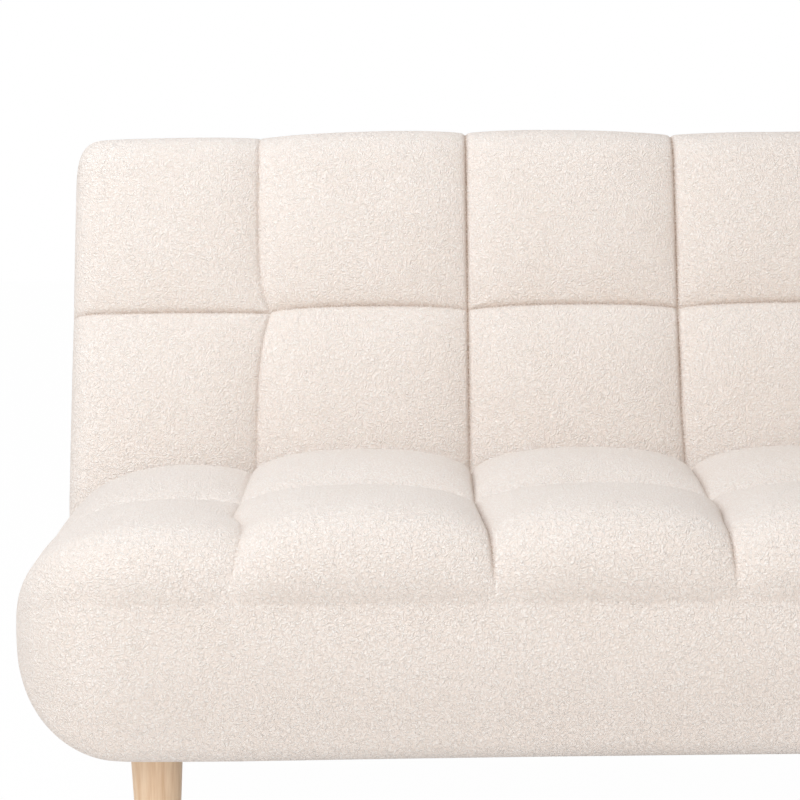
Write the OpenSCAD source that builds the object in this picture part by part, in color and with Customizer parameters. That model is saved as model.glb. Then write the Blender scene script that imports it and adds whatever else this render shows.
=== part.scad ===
// Armless tufted sofa bed with a reclining back on two ratchet hinges and turned wooden legs.
// Front faces -Y, +X is to the right seen from the front, +Z is up, the floor is z = 0.

/* [Overall] */
// Width across both ends
sofa_w = 1800; // [1500:10:2200]
// Tuft columns across the width
columns = 7; // [5:1:9]
// Width of the tuft column at each end; the others share the rest
end_column_w = 237.5; // [200:0.5:300]
// Lean of the back from the vertical when sitting
lean = 20; // [12:1:28]
// Height of the underside of the seat above the floor
leg_h = 158; // [120:1:220]

/* [Seat] */
// Depth of the seat, front face to rear face, on the seams
seat_d = 504; // [460:1:560]
// Thickness of the seat on the seams
seat_t = 230; // [216:1:280]
// Height of the plain band under the front seam
band_h = 173; // [150:1:180]
// Height of the plain band under the rear seam
rear_band_h = 182; // [155:1:185]
// Front seam to the cross seam, measured level
front_row_d = 272; // [230:1:290]
// Radius of the seat's front top edge
seat_front_r = 57; // [40:1:70]
// Radius of the seat's rear top edge
seat_rear_r = 48; // [30:1:60]
// Height that a seat tuft stands over its corner dimples
seat_puff = 38; // [15:1:50]
// Width of the rolled end over the widest line
roll_top_w = 200; // [120:1:230]
// Width of the rolled end under the widest line
roll_low_w = 116; // [80:1:140]
// Height of the widest line of the end over the underside
roll_mid_h = 102; // [90:1:125]
// Radius of the seat's front corners, seen from above
seat_corner_r = 160; // [100:1:180]
// Radius of the seat's rear corners, seen from above
seat_rear_corner_r = 60; // [30:1:80]

/* [Back] */
// Length of the back above the pivot, on the seams
back_up = 472; // [400:1:520]
// Length of the back below the pivot, on the seams
back_down = 74; // [66:1:84]
// Pivot to the front face of the back, on the seams
back_front = 56; // [52:1:64]
// Pivot to the rear face of the back
back_rear = 73; // [70:1:84]
// Pivot to the cross seam of the back
back_seam_up = 228; // [180:1:260]
// Radius of the back's lower front edge
back_low_r = 56; // [40:1:60]
// Radius of the back's upper front edge
back_top_r = 40; // [20:1:50]
// Height that a back tuft stands over its corner dimples
back_puff = 31; // [12:1:36]
// Radius of the back's side edges
back_side_r = 35; // [20:1:45]
// Slack between the rear of the seat and the turning edge of the back
knuckle_gap = 12; // [9:1:24]

/* [Timber] */
// Thickness of the boards
board_t = 25; // [18:1:28]
// Height of the seat frame boards
seat_board_h = 140; // [130:1:144]
// Height of the bearers that carry the legs
bearer_h = 60; // [45:1:64]
// Height of the back's bottom board
back_low_board_h = 100; // [80:1:110]
// Height of the back's top board
back_top_board_h = 80; // [60:1:100]
// Depth of the back's end boards, front to rear
stile_d = 86; // [80:1:88]

/* [Legs] */
// Diameter of a leg at the top
leg_top_d = 58; // [45:1:60]
// Diameter of a leg at the floor
leg_foot_d = 42; // [30:1:44]
// Middle of a leg from the end of the sofa
leg_end_in = 154; // [145:1:200]
// Middle of a front leg from the seat's front face
leg_front_in = 102; // [90:1:130]
// Middle of a rear leg behind the pivot of the back
leg_rear_back = 150; // [100:1:160]

/* [Hinge] */
// Thickness of the hinge plates
plate_t = 4; // [3:0.5:5]
// Width of the drum that holds the ratchet
drum_w = 14; // [10:1:18]
// Diameter of the drum
drum_d = 56; // [44:1:60]
// Diameter of the pivot pin
pin_d = 12; // [8:0.5:14]
// Width of the hinge arms
arm_w = 32; // [24:1:36]

/* [Padding] */
// Thickness of the seat foam slab
seat_foam_t = 64.8; // [50:0.1:66]
// Thickness of the back foam slab
back_foam_t = 26.2; // [20:0.1:28]
// Spring wire diameter
wire_d = 3.8; // [3:0.1:4.5]
// Springs between the middle board and a hinge board
springs_half = 5; // [3:1:5]

/* [Hidden] */

// Smoothness of the round parts
$fn = 64;
// How far a cut runs past the face that it opens
overrun = 1;
// Clearance round a pin or bolt, on the radius
fit_gap = 0.05;
// Clearance round a bolt in wood, on the radius
drill_gap = 0.3;
// Clearance between soft pieces and what holds them
soft_gap = 0.3;
// Clearance between the faces that slide on each other at the hinge
slide_gap = 0.3;
// Clearance between a board or plate and what it passes
board_clear = 3;

half_w = sofa_w / 2;
last_seam_x = half_w - end_column_w;
column_pitch = 2 * last_seam_x / (columns - 2);
leg_x = half_w - leg_end_in;

// Outward bow of the plain bands
bow = 8;
// Radius of the lower edges of the seat and of the rear edges of the back
edge_r = 25;
// Half height of the blunt line where the rolled end closes
nose_h = 3;

// The heights of the seat
seat_top_z = leg_h + seat_t;
roll_mid_z = leg_h + roll_mid_h;
front_seam_z = leg_h + band_h;
rear_seam_z = leg_h + rear_band_h;

// Thickness of the cloth and wadding that wraps under the boards
wrap_t = 7;
// Width of the turned-in hem under the seat
hem_w = 62;
rear_hem_w = 48;
frame_z = leg_h + wrap_t;
frame_top_z = frame_z + seat_board_h;

// The pivot lies as far under the crown of the seat as it lies under the crown of the back
pivot_z = seat_top_z + seat_puff - back_front - back_puff;

// Reach of the turning lower edge of the back in front of the pivot
knuckle_r = back_front + back_puff + bow / 2;
seat_rear_v = bow + seat_d;
pivot_v = seat_rear_v + knuckle_r + knuckle_gap;

// The rearmost line of the back when sitting
back_reach = (back_up + bow - edge_r) * sin(lean) + (back_rear - edge_r) * cos(lean) + edge_r;
overall_d = pivot_v + back_reach;
front_y = -overall_d / 2;
pivot_y = front_y + pivot_v;

// Wadding between the seams and the outer faces of the seat boards
front_pad = 26;
rear_pad = 13;
end_pad = 95;
// Boards of the seat, measured back from the apron
front_rail_v = bow + front_pad;
rear_rail_v = seat_rear_v - rear_pad - board_t;
frame_half_w = half_w - end_pad;
frame_inner_w = frame_half_w - board_t;

// Shares that place the rings and ring points of a tufted pad, closer together near a seam
tuft_shares = [0, 0.06, 0.2, 0.5, 0.8, 0.94];
row_shares = [0, 0.07, 0.2, 0.4, 0.66, 0.9];
band_shares = [0, 0.33, 0.67];
roll_shares = [0, 0.02, 0.07, 0.16, 0.3, 0.5, 0.75];
// Share of a tuft's height that a seam keeps half way between two dimples
seat_seam_share = 0.15;
back_seam_share = 0.31;
// Share of a tuft's height that pushes out level, on the upright faces
seat_level_share = 0.35;
back_level_share = 0.08;
// How late a tuft rises while its row turns over the edge
seat_hold = 1;
back_hold = 3;
// Share of a tuft's height that the end columns have
end_share = 0.48;
// Squareness of the rolled end over and under its widest line, and of the corners seen from above
roll_top_power = 2.75;
roll_low_power = 1.8;
plan_power = 2.2;
// Least share of the pad's height that lies above a side seam
above_share = 0.22;

// 1 at the very end, 0 at and past the width of the rounding
function rounding_share(t, power) =
    t >= 1 ? 0 : 1 - pow(1 - pow(1 - max(t, 0), power), 1 / power);

// Rise of a cushion between its two seams, 0 on a seam and 1 half way
function pillow_share(t) = pow(max(1 - pow(abs(2 * t - 1), 3), 0), 0.62);

// Rise of a tuft from its share along the width and along its row
function tuft_share(a, b, seam_share) = (1 - 2 * seam_share) * a * b + seam_share * (a + b);

// Rise of the tufts across the width, less in the end columns
function across_share(x) =
    (abs(x) > last_seam_x ? end_share : 1) * pillow_share(column_share(x));

// Where x lies between two seams, as a share
function column_share(x) =
    abs(x) >= last_seam_x ? (abs(x) - last_seam_x) / (half_w - last_seam_x)
    : let (t = x / column_pitch + columns / 2) t - floor(t);

// Rings of a pad across the width, from -X to +X
function pad_rings(roll_w) =
    let (
        inner_x = half_w - roll_w,
        outer = [for (s = roll_shares) half_w - s * roll_w],
        fields = [for (s = [3, 2, 1]) last_seam_x + tuft_shares[s] * (inner_x - last_seam_x)],
        ends = concat(outer, [inner_x], fields),
        seams = [for (i = [1 : columns - 2]) for (s = tuft_shares)
            (i - columns / 2 + s) * column_pitch]
    )
    concat([for (x = ends) -x], seams, [last_seam_x], [for (i = [len(ends) - 1 : -1 : 0]) ends[i]]);

// A slab with a tufted top that lies flat: v runs from the near end to the far end, n is up.
// The top has two rows of tufts, its seams lie on the two end faces, plain bands close the sides.
module tufted_slab(v0, v1, n0, n1, r0, r1, seam0, seam_mid, seam1,
        puff, seam_share, level_share, hold, roll_w, roll_low, drop, rise, plan0, plan1) {
    function section(x) =
        let (
            e = half_w - abs(x),
            fall = rounding_share(e / roll_w, roll_top_power),
            top = n1 - drop * fall,
            low = n0 + rise * rounding_share(e / roll_low, roll_low_power),
            near = v0 + plan0 * rounding_share(e / plan0, plan_power),
            far = v1 - plan1 * rounding_share(e / plan1, plan_power),
            side0 = min(seam0, top - above_share * (top - low)),
            side1 = min(seam1, top - above_share * (top - low)),
            ra = min(r0, top - side0),
            rb = min(r1, top - side1),
            rc = min(edge_r, (side0 - low) / 3),
            live = 1 - fall,
            across = across_share(x),
            rows_a = [for (s = row_shares) row_point(s, near, top, side0, ra, 1, across, live)],
            rows_b = [for (s = row_shares) row_point(s, far, top, side1, rb, -1, across, live)],
            middle = [seam_mid, top + puff * live * tuft_share(across, 0, seam_share)],
            band_a = [for (s = band_shares) band_point(s, near, low, side0, rc, 1, live)],
            band_b = [for (s = band_shares) band_point(s, far, low, side1, rc, -1, live)]
        )
        concat([corner_point(90, near, low, rc, 1), corner_point(45, near, low, rc, 1)],
            band_a, rows_a, [middle],
            [for (i = [len(rows_b) - 1 : -1 : 0]) rows_b[i]],
            [for (i = [len(band_b) - 1 : -1 : 0]) band_b[i]],
            [corner_point(45, far, low, rc, -1), corner_point(90, far, low, rc, -1)]);

    // A point on a row of tufts: up the end face, round the edge, then level to the cross seam
    function row_point(s, end, top, side, r, way, across, live) =
        let (
            upright = top - r - side,
            bend = r * PI / 2,
            level = abs(seam_mid - end) - r,
            d = s * (upright + bend + level),
            a = min(max((d - upright) / bend, 0), 1) * 90,
            swell = puff * live * tuft_share(across, pillow_share(s), seam_share)
                * (level_share + (1 - level_share) * pow(sin(a), hold)),
            v = r - r * cos(a) + max(d - upright - bend, 0) - swell * cos(a),
            n = side + min(d, upright) + r * sin(a) + swell * sin(a)
        )
        [end + way * v, n];

    function band_point(s, end, low, side, r, way, live) =
        [end - way * bow * live * sin(180 * s), low + r + s * (side - low - r)];

    function corner_point(a, end, low, r, way) =
        [end + way * r * (1 - cos(a)), low + r * (1 - sin(a))];

    xs = pad_rings(roll_w);
    rings = [for (x = xs) section(x)];
    m = len(rings[0]);
    last = len(xs) - 1;
    points = [for (i = [0 : last]) for (p = rings[i]) [xs[i], p[0], p[1]]];
    sides = [for (i = [0 : last - 1]) for (j = [0 : m - 1])
        let (a = i * m + j, b = i * m + (j + 1) % m) each [[a, b, b + m], [a, b + m, a + m]]];
    left_end = [for (j = [1 : m - 2]) [0, j + 1, j]];
    right_end = [for (j = [1 : m - 2]) [last * m, last * m + j, last * m + j + 1]];
    polyhedron(points, concat(sides, left_end, right_end), convexity = 10);
}

// A box between two corners
module block(low, high) {
    translate(low) cube(high - low);
}

// Turns what is drawn lying flat, with the pivot at zero, into the sitting position
module on_back() {
    translate([0, pivot_y, pivot_z]) rotate([90 - lean, 0, 0]) children();
}

// Measures y back from the apron
module on_seat() {
    translate([0, front_y, 0]) children();
}

module both_sides() {
    children();
    mirror([1, 0, 0]) children();
}

// A cylinder along X between two places
module rod(x0, x1, r) {
    translate([x0, 0, 0]) rotate([0, 90, 0]) cylinder(r = r, h = x1 - x0);
}

// A bearer fills the room between the hinge board and the end board
bearer_half_w = frame_inner_w - leg_x;
hinge_x = leg_x - bearer_half_w - board_t;
// Faces of the hinge, from the middle of the sofa outwards
back_plate_x = hinge_x - 2 * plate_t - drum_w - slide_gap;
drum_x = hinge_x - plate_t - drum_w;
seat_plate_x = hinge_x - plate_t;
disc_rim = 2;
disc_r = drum_d / 2 + disc_rim;
pin_head_r = pin_d * 0.9;
pin_head_t = 5;
bolt_r = 4;
bolt_head_r = 8;
bolt_head_t = 4.5;
nut_r = 7.5;
nut_t = 6.5;

// The pad of the seat plate on its board, measured forward from the pivot
pad_l = 112;
pad_edge = 20;
pad_lift = 10;
pad_rear = pivot_v - rear_rail_v + board_clear;
pad_front = pad_rear + pad_l;
pad_low = pivot_z - frame_z - bearer_h - pad_lift;
seat_bolt_places = [
    [pad_front - pad_edge, pad_low - pad_edge],
    [pad_rear + pad_edge, pad_low - pad_edge],
    [(pad_front + pad_rear) / 2, pad_low - 2 * pad_edge]];
back_arm_l = 165;
back_bolt_shares = [0.4, 0.65, 0.9];

module seat_cover() {
    color("ivory")
    difference() {
        on_seat() tufted_slab(v0 = bow, v1 = seat_rear_v, n0 = leg_h, n1 = seat_top_z,
            r0 = seat_front_r, r1 = seat_rear_r, seam0 = front_seam_z,
            seam_mid = bow + front_row_d, seam1 = rear_seam_z, puff = seat_puff,
            seam_share = seat_seam_share, level_share = seat_level_share, hold = seat_hold,
            roll_w = roll_top_w, roll_low = roll_low_w,
            drop = seat_top_z - roll_mid_z - nose_h, rise = roll_mid_z - nose_h - leg_h,
            plan0 = seat_corner_r, plan1 = seat_rear_corner_r);
        on_seat() {
            block([-frame_half_w, front_rail_v, frame_z],
                [frame_half_w, seat_frame_end_v, frame_top_z + clip_h]);
            block([-seat_foam_half_w - soft_gap, seat_foam_v - soft_gap, frame_top_z],
                [seat_foam_half_w + soft_gap, seat_foam_end_v + soft_gap, seat_foam_top_z + soft_gap]);
            block([-hem_inner_half_w, bow + hem_w, leg_h - overrun],
                [hem_inner_half_w, seat_rear_v - rear_hem_w, frame_z + overrun]);
            both_sides() {
                arm_slot();
                block([leg_x - bearer_half_w - soft_gap, seat_frame_end_v - overrun, frame_z],
                    [frame_inner_w + soft_gap, seat_rear_v + 2 * bow, frame_z + bearer_h + soft_gap]);
            }
        }
    }
}

seat_frame_end_v = rear_rail_v + board_t;
hem_grip = 20;
hem_inner_half_w = frame_half_w - hem_grip;
foam_end_pad = 125;
seat_foam_half_w = half_w - foam_end_pad;
seat_foam_v = bow + seat_front_r * 0.78;
seat_foam_end_v = seat_rear_v - seat_rear_r * 0.62;
spring_lift = 6;
spring_z = frame_top_z + spring_lift;
seat_foam_z = spring_z + wire_d / 2 + soft_gap;
seat_foam_top_z = seat_foam_z + seat_foam_t;

// The narrow slot where the seat's hinge arm leaves the cover
module arm_slot() {
    block([seat_plate_x - soft_gap, rear_rail_v, pivot_z - arm_w / 2 - soft_gap],
        [hinge_x + soft_gap, pivot_v, pivot_z + arm_w / 2 + soft_gap]);
}

module seat_foam() {
    color("khaki")
    on_seat() difference() {
        block([-seat_foam_half_w, seat_foam_v, seat_foam_z],
            [seat_foam_half_w, seat_foam_end_v, seat_foam_top_z]);
        both_sides() block([seat_plate_x - soft_gap, pivot_v - pad_front - soft_gap, frame_top_z],
            [hinge_x + soft_gap, pivot_v, pivot_z + arm_w / 2 + soft_gap]);
    }
}

module seat_front_rail() {
    color("burlywood")
    on_seat() block([-frame_inner_w, front_rail_v, frame_z],
        [frame_inner_w, front_rail_v + board_t, frame_top_z]);
}

// The rear board, notched over the two bearers
module seat_rear_rail() {
    color("burlywood")
    on_seat() difference() {
        block([-frame_inner_w, rear_rail_v, frame_z], [frame_inner_w, seat_frame_end_v, frame_top_z]);
        both_sides() block([leg_x - bearer_half_w - fit_gap, rear_rail_v - overrun, frame_z - overrun],
            [frame_inner_w + overrun, seat_frame_end_v + overrun, frame_z + bearer_h]);
    }
}

module seat_end_rail() {
    color("burlywood")
    on_seat() block([frame_inner_w, front_rail_v, frame_z],
        [frame_half_w, seat_frame_end_v, frame_top_z]);
}

module seat_hinge_rail() {
    color("burlywood")
    difference() {
        on_seat() block([hinge_x, front_rail_v + board_t, frame_z],
            [hinge_x + board_t, rear_rail_v, frame_top_z]);
        translate([0, pivot_y, pivot_z]) for (p = seat_bolt_places)
            translate([0, -p[0], -p[1]])
                rod(hinge_x - overrun, hinge_x + board_t + overrun, bolt_r + drill_gap);
    }
}

// The centre board, raised over the centre leg's block
module seat_centre_rail() {
    color("burlywood")
    difference() {
        on_seat() block([-board_t / 2, front_rail_v + board_t, frame_z + bearer_h],
            [board_t / 2, rear_rail_v, frame_top_z]);
        translate([0, centre_leg_y, frame_z + bearer_h - overrun])
            cylinder(r = nut_flange_r + drill_gap, h = hanger_top - bearer_h + 2 * overrun);
    }
}

leg_front_y = front_y + bow + leg_front_in;
leg_rear_y = pivot_y + leg_rear_back;
centre_leg_y = front_y + (front_rail_v + seat_frame_end_v) / 2;
seat_leg_places = [[-leg_x, leg_front_y], [leg_x, leg_front_y], [0, centre_leg_y]];
leg_places = concat(seat_leg_places, [[-leg_x, leg_rear_y], [leg_x, leg_rear_y]]);
hanger_r = 4;
hanger_down = 42;
hanger_top = 68;
nut_barrel_r = 5.5;
nut_barrel_l = 12;
nut_flange_r = 11;
nut_flange_t = 1.5;

module leg_block_bores() {
    translate([0, 0, frame_z - overrun])
        cylinder(r = hanger_r + drill_gap, h = bearer_h + 2 * overrun);
    translate([0, 0, frame_z + bearer_h - nut_barrel_l])
        cylinder(r = nut_barrel_r + fit_gap, h = nut_barrel_l + overrun);
}

// The block under the centre board
module centre_leg_block() {
    color("burlywood")
    translate([0, centre_leg_y, 0]) difference() {
        block([-bearer_half_w, -bearer_half_w, frame_z], [bearer_half_w, bearer_half_w, frame_z + bearer_h]);
        leg_block_bores();
    }
}

// What a bearer stands out behind its leg
bearer_over = 40;

// A bearer carries a front and a rear leg: it lies inside the seat frame and leaves it at the rear
module base_bearer() {
    color("wheat")
    difference() {
        block([leg_x - bearer_half_w, front_y + front_rail_v + board_t, frame_z],
            [frame_inner_w, leg_rear_y + bearer_over, frame_z + bearer_h]);
        for (y = [leg_front_y, leg_rear_y]) translate([leg_x, y, 0]) leg_block_bores();
    }
}

// The board that ties the rear ends of the two bearers
module base_cross_rail() {
    color("wheat")
    block([-leg_x + bearer_half_w, leg_rear_y - board_t / 2, frame_z],
        [leg_x - bearer_half_w, leg_rear_y + board_t / 2, frame_z + bearer_h]);
}

module leg_nuts() {
    color("silver")
    for (p = leg_places)
        translate([p[0], p[1], frame_z + bearer_h]) difference() {
            union() {
                cylinder(r = nut_flange_r, h = nut_flange_t);
                translate([0, 0, -nut_barrel_l]) cylinder(r = nut_barrel_r, h = nut_barrel_l);
            }
            translate([0, 0, -nut_barrel_l - overrun])
                cylinder(r = hanger_r + fit_gap, h = nut_barrel_l + nut_flange_t + 2 * overrun);
        }
}

module hanger_bolts() {
    color("silver")
    for (p = leg_places)
        translate([p[0], p[1], frame_z - hanger_down]) {
            cylinder(r = hanger_r, h = hanger_down + hanger_top - hanger_r);
            translate([0, 0, hanger_down + hanger_top - hanger_r])
                cylinder(r1 = hanger_r, r2 = hanger_r / 2, h = hanger_r);
        }
}

glide_h = 4;
glide_pin_r = 2.5;
glide_pin_l = 14;
foot_edge = 2;

// A turned leg: a straight taper with a softened foot edge, bored for its bolt and its glide
module turned_leg(top_d, foot_d) {
    color("wheat")
    difference() {
        rotate_extrude() polygon([
            [0, glide_h], [foot_d / 2 - foot_edge, glide_h], [foot_d / 2, glide_h + foot_edge],
            [top_d / 2, frame_z], [0, frame_z]]);
        translate([0, 0, frame_z - hanger_down - foot_edge])
            cylinder(r = hanger_r + fit_gap, h = hanger_down + foot_edge + overrun);
        translate([0, 0, glide_h - overrun])
            cylinder(r = glide_pin_r + fit_gap, h = glide_pin_l + 2 * overrun);
    }
}

module leg_glides() {
    color("dimgray")
    for (p = leg_places) translate([p[0], p[1], 0]) {
        cylinder(r = leg_foot_d / 2 - foot_edge, h = glide_h);
        translate([0, 0, glide_h]) cylinder(r = glide_pin_r, h = glide_pin_l);
    }
}

dust_t = 1.2;

module dust_cover() {
    color("dimgray")
    on_seat() difference() {
        block([-hem_inner_half_w + soft_gap, bow + hem_w + soft_gap, frame_z - dust_t],
            [hem_inner_half_w - soft_gap, seat_rear_v - rear_hem_w - soft_gap, frame_z]);
        for (p = seat_leg_places)
            translate([p[0], p[1] - front_y, frame_z - dust_t - overrun])
                cylinder(r = leg_top_d / 2 + soft_gap, h = dust_t + 2 * overrun);
    }
}

clip_l = 16;
clip_w = 18;
clip_h = 10;
wave_w = 24;
waves = 6;
spring_x = concat(
    [for (i = [1 : springs_half]) board_t + (i - 0.5) / springs_half * (hinge_x - 3 * board_t)],
    [(hinge_x + board_t + frame_inner_w) / 2]);
spring_front_v = front_rail_v + (board_t - clip_l) / 2;
spring_rear_v = seat_frame_end_v - (board_t - clip_l) / 2;

// A flat wave of wire between two clips, swept with a four-sided section
module wave_spring() {
    steps = waves * 8;
    run = spring_rear_v - spring_front_v - 2 * clip_l;
    path = concat([[0, spring_front_v]],
        [for (k = [0 : steps])
            [wave_w * sin(360 * k / 8), spring_front_v + clip_l + run * k / steps]],
        [[0, spring_rear_v]]);
    last = len(path) - 1;
    r = wire_d / 2;
    function heading(i) =
        let (d = path[min(i + 1, last)] - path[max(i - 1, 0)]) d / norm(d);
    points = [for (i = [0 : last]) let (h = i == 1 || i == last - 1 ? [0, 1] : heading(i))
        each [[path[i][0] + r * h[1], path[i][1] - r * h[0], 0], [path[i][0], path[i][1], r],
            [path[i][0] - r * h[1], path[i][1] + r * h[0], 0], [path[i][0], path[i][1], -r]]];
    skin = [for (i = [0 : last - 1]) for (j = [0 : 3])
        let (a = 4 * i + j, b = 4 * i + (j + 1) % 4) each [[a, b, b + 4], [a, b + 4, a + 4]]];
    polyhedron(points, concat(skin, [[0, 2, 1], [0, 3, 2]],
        [[4 * last, 4 * last + 1, 4 * last + 2], [4 * last, 4 * last + 2, 4 * last + 3]]),
        convexity = 10);
}

module seat_springs() {
    color("silver")
    on_seat() both_sides() for (x = spring_x) translate([x, 0, spring_z]) wave_spring();
}

module spring_clips() {
    color("gray")
    on_seat() both_sides() for (x = spring_x) for (v = [spring_front_v, spring_rear_v - clip_l])
        translate([x, v, frame_top_z]) difference() {
            translate([-clip_w / 2, 0, 0]) cube([clip_w, clip_l, clip_h - wire_d / 2]);
            translate([0, -overrun, spring_z - frame_top_z]) rotate([-90, 0, 0])
                cylinder(r = wire_d / 2 + fit_gap, h = clip_l + 2 * overrun);
        }
}

// The pressed plate on the seat: a round eye, a level arm and a pad that comes down on the board
module hinge_seat_plate() {
    color("dimgray")
    translate([0, pivot_y, pivot_z]) difference() {
        union() {
            rod(seat_plate_x, hinge_x, disc_r);
            translate([seat_plate_x, -pad_front, -arm_w / 2]) cube([plate_t, pad_front, arm_w]);
            translate([seat_plate_x, 0, 0]) rotate([90, 0, 90]) linear_extrude(plate_t)
                polygon([[-pad_front, arm_w / 2], [-pad_front, -pad_low - pad_edge],
                    [-pad_front + pad_edge, -pad_low], [-pad_rear - pad_edge, -pad_low],
                    [-pad_rear, -pad_low + pad_edge], [-pad_rear, arm_w / 2]]);
        }
        rod(seat_plate_x - overrun, hinge_x + overrun, pin_d / 2 + fit_gap);
        for (p = seat_bolt_places) translate([0, -p[0], -p[1]])
            rod(seat_plate_x - overrun, hinge_x + overrun, bolt_r + fit_gap);
    }
}

drum_step = 2;

// The closed drum that holds the ratchet
module ratchet_drum() {
    color("gray")
    translate([0, pivot_y, pivot_z]) difference() {
        union() {
            rod(drum_x, seat_plate_x, drum_d / 2 - drum_step);
            rod(drum_x + drum_step, seat_plate_x, drum_d / 2);
        }
        rod(drum_x - overrun, seat_plate_x + overrun, pin_d / 2 + fit_gap);
    }
}

module hinge_pin() {
    color("silver")
    translate([0, pivot_y, pivot_z]) {
        rod(back_plate_x - slide_gap - pin_head_t, hinge_x + pin_head_t, pin_d / 2);
        rod(back_plate_x - slide_gap - pin_head_t, back_plate_x - slide_gap, pin_head_r);
        rod(hinge_x, hinge_x + pin_head_t, pin_head_r);
    }
}

// A bolt along X with its head at one end and its nut run up at the other
module bolt(head_x, nut_x) {
    way = sign(nut_x - head_x);
    rod(min(head_x, nut_x), max(head_x, nut_x), bolt_r);
    translate([head_x, 0, 0]) rotate([0, -90 * way, 0]) cylinder(r1 = bolt_head_r,
        r2 = bolt_head_r - bolt_head_t / 2, h = bolt_head_t);
    translate([nut_x, 0, 0]) rotate([0, 90 * way, 0]) cylinder(r = nut_r, h = nut_t, $fn = 6);
}

module hinge_seat_bolts() {
    color("silver")
    both_sides() translate([0, pivot_y, pivot_z]) for (p = seat_bolt_places)
        translate([0, -p[0], -p[1]]) bolt(seat_plate_x, hinge_x + board_t);
}

module hinge_back_plate() {
    color("dimgray")
    on_back() difference() {
        union() {
            rod(back_plate_x, back_plate_x + plate_t, disc_r);
            translate([back_plate_x, 0, -arm_w / 2]) cube([plate_t, back_arm_l, arm_w]);
            translate([0, back_arm_l, 0]) rod(back_plate_x, back_plate_x + plate_t, arm_w / 2);
        }
        rod(back_plate_x - overrun, back_plate_x + plate_t + overrun, pin_d / 2 + fit_gap);
        for (s = back_bolt_shares) translate([0, s * back_arm_l, 0])
            rod(back_plate_x - overrun, back_plate_x + plate_t + overrun, bolt_r + fit_gap);
    }
}

module hinge_back_bolts() {
    color("silver")
    both_sides() on_back() for (s = back_bolt_shares) translate([0, s * back_arm_l, 0])
        bolt(back_plate_x + plate_t, back_plate_x - board_t);
}

// Boards of the back, drawn lying flat
back_low = -back_down + wrap_t + bow;
back_high = back_up - wrap_t - board_clear;
board_low_n = -back_rear + wrap_t;
board_top_n = board_low_n + board_t;
stile_top_n = board_low_n + stile_d;
back_end_pad = 25;
back_half_w = half_w - back_end_pad;
back_inner_w = back_half_w - board_t;
strap_t = 1.5;
strap_w = 60;
strap_shares = [0.3, 0.5, 0.7, 0.88];
back_foam_n = stile_top_n + strap_t + soft_gap;
back_foam_top_n = back_foam_n + back_foam_t;
back_foam_low = back_low + back_low_r / 2;
back_foam_high = back_high - back_top_r / 2;

module back_bottom_rail() {
    color("burlywood")
    on_back() block([-back_inner_w, back_low, board_low_n],
        [back_inner_w, back_low + back_low_board_h, board_top_n]);
}

module back_top_rail() {
    color("burlywood")
    on_back() block([-back_inner_w, back_high - back_top_board_h, board_low_n],
        [back_inner_w, back_high, board_top_n]);
}

module back_end_stile() {
    color("burlywood")
    on_back() block([back_inner_w, back_low, board_low_n], [back_half_w, back_high, stile_top_n]);
}

module back_hinge_stile() {
    color("burlywood")
    on_back() difference() {
        block([back_plate_x - board_t, back_low, board_top_n],
            [back_plate_x, back_high, stile_top_n]);
        rod(back_plate_x - 2 * slide_gap - pin_head_t, back_plate_x + overrun, pin_head_r + overrun);
        for (s = back_bolt_shares) translate([0, s * back_arm_l, 0])
            rod(back_plate_x - board_t - overrun, back_plate_x + overrun, bolt_r + drill_gap);
    }
}

module back_centre_stile() {
    color("burlywood")
    on_back() block([-board_t / 2, back_low, board_top_n], [board_t / 2, back_high, stile_top_n]);
}

// Elastic straps stretched over the front edges of the upright boards
module back_straps() {
    color("black")
    on_back() for (s = strap_shares) translate([0, back_low + s * (back_high - back_low), 0])
        block([-back_half_w, -strap_w / 2, stile_top_n], [back_half_w, strap_w / 2, stile_top_n + strap_t]);
}

// The room that the drum and the plates take in the foam, at each hinge
module drum_notch() {
    block([back_plate_x - soft_gap, back_low - overrun, stile_top_n - overrun],
        [hinge_x + soft_gap, disc_r + soft_gap, back_foam_top_n + overrun]);
}

// The narrow slot in the back's lower edge that passes over the seat's hinge arm
module sweep_slot() {
    block([seat_plate_x - soft_gap, -back_down - 2 * bow - back_puff, -arm_w / 2 - soft_gap],
        [hinge_x + soft_gap, arm_w / 2 + soft_gap, back_front + back_puff + bow]);
}

module back_foam() {
    color("khaki")
    on_back() difference() {
        block([-back_inner_w, back_foam_low, back_foam_n],
            [back_inner_w, back_foam_high, back_foam_top_n]);
        both_sides() drum_notch();
    }
}

module back_cover() {
    color("ivory")
    on_back() difference() {
        tufted_slab(v0 = -back_down, v1 = back_up, n0 = -back_rear, n1 = back_front,
            r0 = back_low_r, r1 = back_top_r, seam0 = back_front - back_low_r,
            seam_mid = back_seam_up, seam1 = -back_rear + 2 * edge_r, puff = back_puff,
            seam_share = back_seam_share, level_share = back_level_share, hold = back_hold,
            roll_w = back_side_r, roll_low = edge_r, drop = back_side_r, rise = edge_r,
            plan0 = back_side_r, plan1 = back_side_r);
        block([-back_half_w - soft_gap, back_low, board_low_n],
            [back_half_w + soft_gap, back_high, back_foam_n]);
        block([-back_inner_w - soft_gap, back_foam_low - soft_gap, stile_top_n],
            [back_inner_w + soft_gap, back_foam_high + soft_gap, back_foam_top_n + soft_gap]);
        block([-panel_half_w, panel_low, -back_rear - overrun],
            [panel_half_w, panel_high, board_low_n + overrun]);
        both_sides() sweep_slot();
    }
}

// The panel that closes the rear of the back, inside the turned-in hem
back_hem_w = 30;
panel_half_w = back_half_w - back_hem_w;
panel_low = back_low + back_hem_w;
panel_high = back_high - back_hem_w;
panel_t = 4.5;

module back_panel() {
    color("linen")
    on_back() block([-panel_half_w + soft_gap, panel_low + soft_gap, board_low_n - panel_t],
        [panel_half_w - soft_gap, panel_high - soft_gap, board_low_n]);
}

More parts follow.
